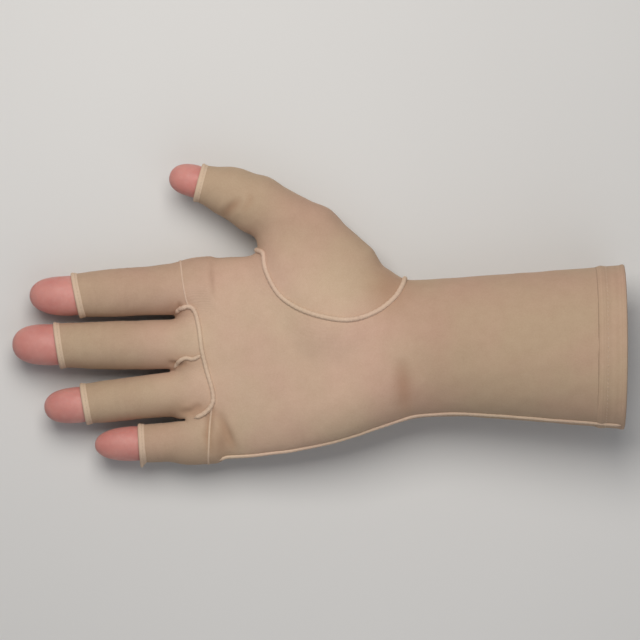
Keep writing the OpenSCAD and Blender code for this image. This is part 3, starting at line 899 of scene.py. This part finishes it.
def knit_on_strip(obj, rings, sides, s, radius):
    """Knit coordinates of a swept strip, along it and round it, without a jump inside any face."""
    quads = np.array([face.vertices for face in obj.data.polygons if len(face.vertices) == 4])
    ring, side = quads // sides, quads % sides
    step = s[-1] / (rings - 1)
    along = np.where((np.ptp(ring, axis=1) > 1)[:, None] & (ring == 0), s[-1] + step, s[ring])
    side = np.where((np.ptp(side, axis=1) > 1)[:, None] & (side == 0), sides, side)
    uv = np.zeros((len(obj.data.loops), 2))
    uv[:quads.size] = np.stack([along.ravel(), (side * 2 * math.pi * radius / sides).ravel()], axis=1)
    store_uv(obj.data, uv)


INSIDE_Z = -14.0              # a height that lies inside the hand everywhere along its seams


def z_on_surface(flat, facing):
    """The glove's height over points of the palm's plane, seen from above or from below."""
    origin = np.column_stack([flat, np.full(len(flat), INSIDE_Z)])
    direction = np.tile([0.0, 0.0, float(facing)], (len(flat), 1))
    reach = surface_distance(origin, direction, 0, 40)
    return origin + reach[:, None] * direction


def round_edge(a, b, steps=8):
    """Points on the glove between two points on opposite faces of it."""
    share = np.linspace(0, 1, steps + 2)[1:-1, None]
    return onto_surface(a + share * (b - a), 5)


def both_faces(line):
    """A closed path: the line on the palm side, round the edge, and back along it on the other side."""
    front, back = z_on_surface(line, 1), z_on_surface(line, -1)[::-1]
    path = np.vstack([front, round_edge(front[-1], back[0]), back, round_edge(back[-1], front[0])])
    return relaxed(evenly(path, 1.2, closed=True), True, 2)


def side_path(x_from, x_to, way):
    """The side seam from one x to another, on the thumb's side (way 1) or the little finger's (-1)."""
    x = np.arange(x_from, x_to, -1.0)
    middle_y, half_w, middle_z, half_h = section(x)
    origin = np.stack([x, middle_y, middle_z], axis=1)
    direction = unit(np.stack([0 * x, way * half_w, -way * SEAM_SLANT * half_h], axis=1))
    return origin + surface_distance(origin, direction, 5, 70)[:, None] * direction


def stitches(name, path, n, length, pitch, radius, material, slant=0.0, closed=False):
    """A row of thread stitches lying on a path."""
    spots = evenly(path, pitch, closed)
    nearest = [np.argmin(np.linalg.norm(path - spot, axis=1)) for spot in spots]
    ahead = np.roll(spots, -1, axis=0) - spots if closed else np.gradient(spots, axis=0)
    ahead = unit(ahead)
    points, faces = [], []
    for spot, forward, i in zip(spots, ahead, nearest):
        up = n[i]
        side = unit(np.cross(up, forward))
        forward = unit(forward + slant * side)
        side = np.cross(up, forward)
        rings = []
        for t in np.linspace(-1, 1, 7):
            thick = radius * math.sqrt(max(1 - t ** 4, 0.02))
            centre = spot + forward * t * length / 2 + up * radius * (0.5 - 0.9 * t * t)
            rings.append([centre + thick * (math.cos(a) * side + math.sin(a) * up)
                          for a in round_angles(6)])
        ring_points, ring_faces = loft(np.array(rings), caps=True)
        offset = len(points) * len(ring_points)
        points.append(ring_points)
        faces += [tuple(k + offset for k in face) for face in ring_faces]
    return new_object(name, np.vstack(points), faces, material)


# ---- silicone ends ----

# Length beyond the hem's middle, the power that rounds the outline (higher is blunter), and how far
# the tip leans to the thumb's side.
TIP_SHAPES = {
    "index": (21.2, 3.0, 0.9),
    "middle": (20.6, 3.4, 0.2),
    "ring": (18.2, 3.2, 0.2),
    "little": (20.6, 2.7, 0.1),
    "thumb": (13.6, 2.9, -0.4),
}
TIP_INSIDE = 7.0              # how far a silicone end reaches back under its sleeve


def silicone_end(digit, material):
    """A fingertip: round under the hem, a soft pad on the palm side and a nail on the back."""
    length, power, lean = TIP_SHAPES[digit.name]
    hem = digit.base + digit.hem_at
    sides, rings = 72, 58
    share = np.concatenate([np.linspace(-TIP_INSIDE / length, 0, 8)[:-1],
                            1 - (1 - np.linspace(0, 1, rings - 8)) ** 1.7])
    angles = round_angles(sides)
    v, w = np.sin(angles), np.cos(angles)
    grid = []
    for t in share[:-1]:
        full = max(0.0, 1 - max(t, 0.0) ** power) ** (1 / 2.15)
        base = digit.r_bare - 0.12 if t < 0 else digit.r_bare - 0.12 * (1 - ramp(t, 0, 0.15))
        flat = 1 - 0.13 * ramp(t, 0.05, 0.7)
        pad = 0.55 * math.exp(-0.5 * ((t - 0.45) / 0.25) ** 2)
        side_v = base * full * v
        up_w = base * full * w * flat + np.maximum(w, 0) * pad
        up_w = up_w - nail_relief(digit, t * length, side_v, w, base)
        shift = lean * ramp(t, 0.1, 1.0)
        grid.append(from_digit(digit, np.full(sides, hem + t * length), side_v - shift, up_w))
    grid = np.array(grid)
    points, faces = loft(grid)
    tip = from_digit(digit, np.array([hem + length]), np.array([-lean]), np.array([0.0]))
    last = (len(share) - 2) * sides
    points = np.vstack([points, tip])
    faces += [(last + j, last + (j + 1) % sides, len(points) - 1) for j in range(sides)]
    faces.append(tuple(range(sides))[::-1])
    return new_object(digit.name + "_silicone_end", points, faces, material)


def nail_relief(digit, u, v, w, radius):
    """How far the nail stands out on the back, with its folds; positive outwards."""
    length = TIP_SHAPES[digit.name][0]
    half = 0.62 * radius
    start, end = 0.36 * length, 0.9 * length
    d = np.maximum(np.abs(v) - half, np.maximum(start - u + 0.06 * v * v, u - end))
    plate = 0.32 * ramp(-d, -0.25, 0.5)
    fold = -0.3 * np.exp(-0.5 * ((d - 0.55) / 0.4) ** 2) + 0.28 * np.exp(-0.5 * ((d - 1.5) / 0.6) ** 2)
    return (plate + fold * (u < end - 0.5)) * (w < 0) * ramp(-w, 0.05, 0.5)


# ---- materials ----

def srgb(r, g, b):
    """A linear colour from an 8-bit display colour."""
    parts = [c / 255 for c in (r, g, b)]
    return tuple(c / 12.92 if c <= 0.04045 else ((c + 0.055) / 1.055) ** 2.4 for c in parts) + (1.0,)


def add(tree, kind, inputs=(), **settings):
    """A shader node with its settings and its inputs, which are values or other nodes' outputs."""
    node = tree.nodes.new(kind)
    for key, value in settings.items():
        setattr(node, key, value)
    for key, value in dict(inputs).items():
        socket = node.inputs[key]
        if isinstance(value, bpy.types.NodeSocket):
            tree.links.new(value, socket)
        else:
            socket.default_value = value
    return node


def plug(tree, shader, **outputs):
    """Joins nodes' outputs to the surface's inputs of the same names."""
    for key, output in outputs.items():
        tree.links.new(output, shader.inputs[key.replace("_", " ")])


def maths(tree, operation, *values):
    """The outcome of a sum on values or other nodes' outputs."""
    return add(tree, "ShaderNodeMath", dict(enumerate(values)), operation=operation).outputs[0]


def mixed(tree, share, a, b, blend="MIX"):
    """Colour a with a share of colour b."""
    node = add(tree, "ShaderNodeMix", {0: share, 6: a, 7: b}, data_type="RGBA", blend_type=blend)
    return node.outputs[2]


def mapped(tree, value, low, high, to_low=0.0, to_high=1.0):
    """A value carried over from one range to another."""
    names = ("Value", "From Min", "From Max", "To Min", "To Max")
    return add(tree, "ShaderNodeMapRange", dict(zip(names, (value, low, high, to_low, to_high)))).outputs[0]


def noise(tree, scale, detail=2.0, roughness=0.5):
    """Soft noise fixed to the object, with scale patches to the metre."""
    where = add(tree, "ShaderNodeTexCoord").outputs["Object"]
    return add(tree, "ShaderNodeTexNoise", {"Vector": where, "Scale": scale, "Detail": detail,
                                            "Roughness": roughness}).outputs["Fac"]


def bumped(tree, height, distance, strength=1.0, under=None):
    """Normals bent by a height, over those of another bump if there is one."""
    inputs = {"Height": height, "Distance": distance, "Strength": strength}
    if under is not None:
        inputs["Normal"] = under
    return add(tree, "ShaderNodeBump", inputs).outputs["Normal"]


def new_material(name, **surface):
    """A material with a principled surface; returns it, its tree and the surface node."""
    material = bpy.data.materials.new(name)
    material.use_nodes = True
    tree = material.node_tree
    shader = tree.nodes["Principled BSDF"]
    for key, value in surface.items():
        shader.inputs[key.replace("_", " ")].default_value = value
    return material, tree, shader


WALE = 0.46                   # width of one column of knit stitches
COURSE = 0.37                 # height of one row
SHADE = srgb(164, 130, 104)   # uneven darker patches of the knit
GROOVE_SHADE = srgb(120, 88, 66)    # painted shade between its columns
FLECK = srgb(226, 204, 180)   # its lighter fibres
PAINTED_SHADE_BROWN = srgb(150, 104, 74)  # painted shade: in creases, in the webs and down the fingers' lower sides
FALLOFF_SHADE_KEEPS = (0.81, 0.79, 0.76, 1.0)  # painted shade: the share of each colour that the knit keeps where it is furthest from the palm's middle


def knit_material(name, colour, pink, depth=0.00007):
    """Fine elastic knit: columns of small V stitches, matt, a little uneven in colour, with painted shade between
    its columns, in creases and webs, and away from the palm's middle.
    """
    material, tree, shader = new_material(name, Roughness=0.82, Sheen_Weight=0.22, Sheen_Roughness=0.45)
    uv = add(tree, "ShaderNodeUVMap", uv_map="knit").outputs["UV"]
    split_uv = add(tree, "ShaderNodeSeparateXYZ", {"Vector": uv})
    column = maths(tree, "DIVIDE", split_uv.outputs["Y"], WALE)
    across = maths(tree, "ABSOLUTE", maths(tree, "SUBTRACT", maths(tree, "FRACT", column), 0.5))
    row = maths(tree, "DIVIDE", split_uv.outputs["X"], COURSE)
    leaning = maths(tree, "MULTIPLY_ADD", across, 0.9, row)
    loops = maths(tree, "COSINE", maths(tree, "MULTIPLY", leaning, 2 * math.pi))
    ribs = maths(tree, "COSINE", maths(tree, "MULTIPLY", across, math.pi))
    stitch = maths(tree, "MULTIPLY_ADD", loops, 0.22, maths(tree, "MULTIPLY", ribs, 0.7))
    fibres = noise(tree, 2600.0, 3.0, 0.65)
    height = maths(tree, "MULTIPLY_ADD", fibres, 0.5, stitch)
    slubs = bumped(tree, noise(tree, 260.0, 2.0, 0.6), 0.00025, 0.35)

    base = mixed(tree, mapped(tree, noise(tree, 22.0, 2.0), 0.38, 0.68), colour, pink)
    base = mixed(tree, mapped(tree, noise(tree, 170.0, 3.0, 0.6), 0.3, 0.75, 0.0, 0.16), base, SHADE)
    # painted shade in the low parts of the stitches
    base = mixed(tree, mapped(tree, stitch, 0.1, 0.9, 0.09, 0.0), base, GROOVE_SHADE)
    base = mixed(tree, mapped(tree, noise(tree, 1500.0, 2.0, 0.7), 0.35, 0.7, 0.0, 0.14), base, FLECK)
    # Painted shade: darker away from the palm's middle.
    falloff_shade = add(tree, "ShaderNodeAttribute", attribute_name="falloff_shade").outputs["Fac"]
    base = mixed(tree, falloff_shade, base, FALLOFF_SHADE_KEEPS, "MULTIPLY")
    # Painted shade: browner in creases, in the webs and down the fingers' lower sides.
    crease = add(tree, "ShaderNodeAttribute", attribute_name="crease").outputs["Fac"]
    base = mixed(tree, mapped(tree, crease, 0.0, 1.0, 0.0, 0.42), base, PAINTED_SHADE_BROWN)
    plug(tree, shader, Base_Color=base, Normal=bumped(tree, height, depth, 0.8, slubs))
    shader.inputs["Sheen Tint"].default_value = srgb(236, 214, 190)
    shader.inputs["Specular IOR Level"].default_value = 0.25
    return material


def silicone_material():
    """Soft satin silicone in skin tones, faintly pebbled."""
    material, tree, shader = new_material("tip_silicone", Roughness=0.46, Subsurface_Weight=0.3,
                                          Subsurface_Scale=0.003)
    shader.inputs["Subsurface Radius"].default_value = (1.0, 0.42, 0.3)
    patches = mapped(tree, noise(tree, 90.0, 3.0), 0.35, 0.7)
    base = mixed(tree, patches, srgb(206, 142, 132), srgb(197, 128, 120))
    base = mixed(tree, mapped(tree, noise(tree, 420.0, 3.0, 0.6), 0.45, 0.75, 0.0, 0.25), base,
                 srgb(216, 160, 148))
    cells = add(tree, "ShaderNodeTexVoronoi", {"Scale": 1500.0}, feature="SMOOTH_F1").outputs["Distance"]
    fine = maths(tree, "MULTIPLY_ADD", noise(tree, 700.0, 3.0), 0.6, cells)
    rough = mapped(tree, noise(tree, 300.0, 2.0), 0.3, 0.7, 0.4, 0.54)
    plug(tree, shader, Base_Color=base, Normal=bumped(tree, fine, 0.00006, 0.55), Roughness=rough)
    return material


def thread_material(name, colour):
    """Twisted sewing thread."""
    material, tree, shader = new_material(name, Roughness=0.6, Sheen_Weight=0.3)
    twist = noise(tree, 3200.0, 2.0, 0.6)
    base = mixed(tree, twist, colour, srgb(200, 176, 150))
    plug(tree, shader, Base_Color=base, Normal=bumped(tree, twist, 0.00008, 0.7))
    return material


def turned_metal(name, colour, rough):
    """Machined metal with fine turning marks round the X axis and slight wear."""
    material, tree, shader = new_material(name, Metallic=1.0)
    where = add(tree, "ShaderNodeTexCoord").outputs["Object"]
    parts = add(tree, "ShaderNodeSeparateXYZ", {"Vector": where})
    y2 = maths(tree, "MULTIPLY", parts.outputs["Y"], parts.outputs["Y"])
    radius = maths(tree, "SQRT", maths(tree, "MULTIPLY_ADD", parts.outputs["Z"], parts.outputs["Z"], y2))
    marks = maths(tree, "SINE", maths(tree, "MULTIPLY", radius, 9000.0))
    wear = noise(tree, 220.0, 4.0, 0.65)
    base = mixed(tree, mapped(tree, wear, 0.35, 0.75), colour, tuple(0.72 * c for c in colour[:3]) + (1.0,))
    worn = mapped(tree, wear, 0.3, 0.7, rough - 0.08, rough + 0.12)
    grain = maths(tree, "MULTIPLY_ADD", noise(tree, 1800.0, 2.0), 0.5, marks)
    plug(tree, shader, Base_Color=base, Normal=bumped(tree, grain, 0.00002, 0.6), Roughness=worn)
    return material


def moulded(name, colour, rough, grain_scale, grain_depth, speck, specks):
    """Moulded plastic or foam with its own grain and a second colour in specks."""
    material, tree, shader = new_material(name)
    spots = mapped(tree, noise(tree, grain_scale * 0.45, 3.0, 0.7), 0.5, 0.72, 0.0, specks)
    base = mixed(tree, spots, colour, speck)
    grain = noise(tree, grain_scale, 3.0, 0.6)
    worn = mapped(tree, grain, 0.3, 0.7, rough - 0.06, rough + 0.08)
    plug(tree, shader, Base_Color=base, Normal=bumped(tree, grain, grain_depth, 0.7), Roughness=worn)
    return material


def cad_materials():
    """A material for each of the record's slots that a CAD piece still shows."""
    return {
        "laminate": moulded("laminate", srgb(214, 178, 150), 0.34, 420.0, 0.00005, srgb(232, 204, 180), 0.5),
        "hand_foam": moulded("hand_foam", srgb(216, 172, 150), 0.86, 1400.0, 0.0002,
                             srgb(196, 150, 128), 0.45),
        "plate_aluminium": turned_metal("plate_aluminium", srgb(198, 200, 204), 0.3),
        "spindle_aluminium": turned_metal("spindle_aluminium", srgb(184, 186, 192), 0.34),
        "frame_nylon": moulded("frame_nylon", srgb(86, 92, 102), 0.5, 1600.0, 0.00004,
                               srgb(120, 128, 138), 0.4),
        "bearing_plastic": moulded("bearing_plastic", srgb(236, 234, 226), 0.38, 900.0, 0.00002,
                                   srgb(222, 218, 206), 0.4),
        "screw_steel": turned_metal("screw_steel", srgb(104, 104, 110), 0.4),
        "pin_steel": turned_metal("pin_steel", srgb(190, 192, 196), 0.22),
    }


# ---- assembly ----

KNIT = knit_material("glove_knit", srgb(200, 175, 149), srgb(204, 169, 149))
# A lighter copy of the knit for the hems and raised seams: painted highlight on their raised fabric.
HIGHLIT_KNIT = knit_material("glove_hem", srgb(214, 190, 164), srgb(216, 186, 166), depth=0.0001)
THREAD = thread_material("glove_thread", srgb(176, 150, 124))
SILICONE = silicone_material()

PANEL_BLENDS = {
    "palm_panel": ("palm", "forearm", (WRIST_ZONE[0], 0, 0), (WRIST_ZONE[1], 0, 0)),
    "back_panel": ("palm", "forearm", (WRIST_ZONE[0], 0, 0), (WRIST_ZONE[1], 0, 0)),
}
PANEL_REPLACES = {
    "palm_panel": ["glove_palm_panel", "glove_cuff_front"],
    "back_panel": ["glove_back_panel", "glove_cuff_back"],
    "thumb_gusset_panel": ["thumb_gusset"],
    "thumb_sleeve": ["thumb_sleeve_end"],
}
# Where the fabric turns with the thumb: distances from the frame's middle along the thumb's outward way.
THUMB_AXIS = JOINTS["thumb_swing"]["axis"]
THUMB_OUT = np.array([-THUMB_AXIS[1], THUMB_AXIS[0], 0.0])
GUSSET_ZONE = (4.5, 18.5)
PANEL_BLENDS["thumb_gusset_panel"] = ("palm", "thumb_base", *(at * THUMB_OUT for at in GUSSET_ZONE))
PANEL_BLENDS["thumb_sleeve"] = ("thumb_base", "thumb_end",
                                *(middle_point(DIGITS["thumb"], u) for u in THUMB_ZONE))
for finger in FINGERS:
    first, second, third = (middle_point(DIGITS[finger], u) for u in BEND_ZONES[finger])
    PANEL_BLENDS[finger + "_sleeve_lower"] = ("palm", finger + "_base", first, second)
    PANEL_BLENDS[finger + "_sleeve_upper"] = (finger + "_base", finger + "_end", second, third)
    PANEL_REPLACES[finger + "_sleeve_lower"] = [finger + "_sleeve_base"]
    PANEL_REPLACES[finger + "_sleeve_upper"] = [finger + "_sleeve_end"]


def bend(obj):
    """Bakes a piece's transform into its mesh."""
    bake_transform(obj)


def finish_piece(obj, body=None, blend=None, replaces=()):
    """Fastens a piece to its body, or bakes its transform if it lies across a joint, and hides the CAD pieces that
    it replaces.
    """
    if blend is not None:
        bend(obj)
    else:
        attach(obj, body)
    if replaces:
        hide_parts(*replaces)


def make_panels():
    """The glove's panels and sleeves."""
    panels = {}
    for name, s in cut_panels().items():
        if name.endswith("_panel") and not name.startswith("thumb"):
            knit = body_knit(s.p, 1 if name == "palm_panel" else -1)
        elif name.startswith("thumb"):
            knit = thumb_knit(s.p)
        else:
            knit = digit_knit(DIGITS[name.split("_")[0]], s.p)
        obj = fabric_object(name, s, knit, KNIT)
        finish_piece(obj, blend=PANEL_BLENDS[name], replaces=PANEL_REPLACES[name])
        panels[name] = obj
    return panels


def ring_object(name, rings, material):
    """A closed band from rings that run round a digit or the cuff."""
    points, faces = loft(rings, closed_along=True)
    obj = new_object(name, points, faces, material)
    knit_on_strip(obj, len(rings), rings.shape[1], lengths_along(rings.mean(axis=1)), 1.0)
    return obj


HEM_ROW = 3                   # the point of HEM_PROFILE that the stitches follow
CUFF_ROW = 5                  # and that of CUFF_PROFILE
HEM_THREAD = {"length": 1.1, "pitch": 1.6, "radius": 0.13}
CUFF_THREAD = {"length": 1.5, "pitch": 2.1, "radius": 0.16, "slant": 0.3}


def make_hems():
    """The folded hems of the digits and of the cuff, with their stitching."""
    for name, digit in DIGITS.items():
        rings, u = hem_ring(digit)
        finish_piece(ring_object(name + "_hem", rings, HIGHLIT_KNIT), body=name + "_end")
        line = rings[:, HEM_ROW]
        out = unit(line - from_digit(digit, u + HEM_PROFILE[HEM_ROW][0], 0.0, 0.0))
        row = stitches(name + "_hem_stitches", line + 0.02 * out, out, material=THREAD, closed=True,
                       **HEM_THREAD)
        finish_piece(row, body=name + "_end")
    rings = cuff_ring()
    cuff = ring_object("cuff_hem_band", rings, KNIT)
    # painted shade at full strength over the whole cuff band
    store_values(cuff, "falloff_shade", np.ones(len(cuff.data.vertices)))
    finish_piece(cuff, body="forearm", replaces=["glove_cuff_hem"])
    line = rings[:, CUFF_ROW]
    out = unit(line - line.mean(axis=0))
    row = stitches("cuff_hem_stitches", line, out, material=THREAD, closed=True, **CUFF_THREAD)
    finish_piece(row, body="forearm")


def make_seams():
    """The glove's raised seams."""
    wrist = PANEL_BLENDS["palm_panel"]
    gusset = both_faces(GUSSET_LINE)
    across = KNUCKLE_LINE[:, 1]
    knuckles = both_faces(KNUCKLE_LINE[(across > KNUCKLE_SIDES[0]) & (across < KNUCKLE_SIDES[1])])
    # Name, path, half width, height, whether it is closed, and the joint that it lies across.
    rows = [
        ("gusset_seam", gusset, 1.15, 1.2, True, PANEL_BLENDS["thumb_gusset_panel"]),
        ("knuckle_seam", knuckles, 0.45, 0.35, True, None),
        ("web_seam", z_on_surface(curve_through(WEB_SEAM), 1), 1.1, 1.15, False, None),
        ("web_seam_branch", z_on_surface(curve_through(WEB_BRANCH), 1), 0.95, 0.95, False, None),
        ("ulnar_seam", side_path(-1.2, -186, -1), 1.0, 0.9, False, wrist),
        ("radial_seam_cuff", side_path(-1.2, -101, 1), 0.8, 0.6, False, wrist),
        ("radial_seam_palm", side_path(-168, -201, 1), 0.8, 0.6, False, None),
    ]
    for name, path, radius, height, closed, blend in rows:
        path, n = settle(evenly(path, 0.5, closed))
        obj = ridge(name, path, n, radius, height, HIGHLIT_KNIT, closed, ribs=0.07)
        finish_piece(obj, body="palm", blend=blend)


def make_silicone():
    """The silicone ends, which stand for the CAD's tips."""
    for name, digit in DIGITS.items():
        tip = silicone_end(digit, SILICONE)
        finish_piece(tip, body=name + "_end", replaces=[name + "_tip"])


def dress_cad():
    """Gives every CAD piece that still shows its own material."""
    looks = cad_materials()
    slots = {part["node"]: part["material_slot"] for part in frame["record"]["subparts"]}
    for name, obj in frame["nodes"].items():
        if obj.hide_render:
            continue
        obj.data.materials.clear()
        obj.data.materials.append(looks[slots[name]])


# ---- floor, lights and camera ----

VIEW_CENTRE = (-138.9, 12.4)
VIEW_WIDTH = 294.4
LENS, SENSOR = 280.0, 36.0
FLOOR_Z = -32.8
FLOOR_HALF = 1500.0
AIM = (-140, 5, -10)          # what the lights point at
# Name, place, side in metres, power and colour of each light.
LIGHTS = [
    ("key", (-225, 340, 680), 0.5, 5.2, (1.0, 0.97, 0.93)),
    ("fill", (60, -420, 520), 0.9, 1.3, (0.95, 0.97, 1.0)),
]


def area_light(name, position, size, power, colour):
    """A square soft light."""
    light = bpy.data.lights.new(name, "AREA")
    light.shape = "RECTANGLE"
    light.size = light.size_y = size
    light.energy = power
    light.color = colour
    obj = bpy.data.objects.new(name, light)
    obj.location = [c * MM for c in position]
    aim = np.array(AIM, float) - np.array(position, float)
    obj.rotation_mode = "QUATERNION"
    obj.rotation_quaternion = Vector(aim).to_track_quat("-Z", "Y")
    bpy.context.scene.collection.objects.link(obj)


def make_stage():
    """A pale floor, soft studio light, and the camera straight above the palm."""
    material, tree, shader = new_material("floor", Roughness=0.7)
    tone = mixed(tree, noise(tree, 3.0, 3.0), srgb(206, 205, 203), srgb(214, 213, 211))
    plug(tree, shader, Base_Color=tone)
    corners = [(x * FLOOR_HALF, y * FLOOR_HALF, FLOOR_Z) for x, y in ((-1, -1), (1, -1), (1, 1), (-1, 1))]
    new_object("floor", corners, [(0, 1, 2, 3)], material, smooth=False)

    world = bpy.data.worlds.new("studio")
    world.use_nodes = True
    background = world.node_tree.nodes["Background"]
    background.inputs["Color"].default_value = (0.92, 0.94, 1.0, 1.0)
    background.inputs["Strength"].default_value = 0.16
    bpy.context.scene.world = world
    bpy.context.scene.view_settings.view_transform = "Standard"
    for light in LIGHTS:
        area_light(*light)

    camera = bpy.data.objects.new("camera", bpy.data.cameras.new("camera"))
    camera.data.sensor_width, camera.data.lens = SENSOR, LENS
    height = PALM_Z + 3 + VIEW_WIDTH * LENS / SENSOR
    camera.location = (VIEW_CENTRE[0] * MM, VIEW_CENTRE[1] * MM, height * MM)
    camera.data.clip_start, camera.data.clip_end = 0.01, 20
    bpy.context.scene.collection.objects.link(camera)
    bpy.context.scene.camera = camera


PANELS = make_panels()
make_hems()
make_seams()
make_silicone()
dress_cad()
make_stage()
